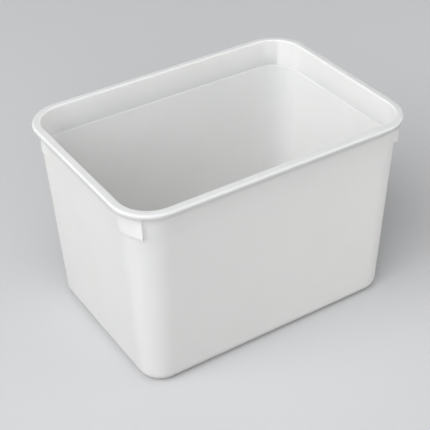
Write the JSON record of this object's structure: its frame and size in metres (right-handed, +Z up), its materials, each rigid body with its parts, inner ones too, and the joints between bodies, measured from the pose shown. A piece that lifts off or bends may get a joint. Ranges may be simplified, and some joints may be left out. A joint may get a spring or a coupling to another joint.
{
  "type": "ice cream tub",
  "caption": "Open rectangular plastic tub with tapered walls, rounded corners, a rolled rim and a lug under it at each corner.",
  "frame": {"origin": "centre of the base, on the plane the tub stands on", "axes": "+X along the long sides, +Y along the short sides, +Z up through the open mouth"},
  "size_m": [0.23, 0.165, 0.152],
  "materials": {
    "white_plastic": "satin moulded polypropylene"
  },
  "bodies": {
    "root": {"tub": "white_plastic"}
  },
  "joints": []
}
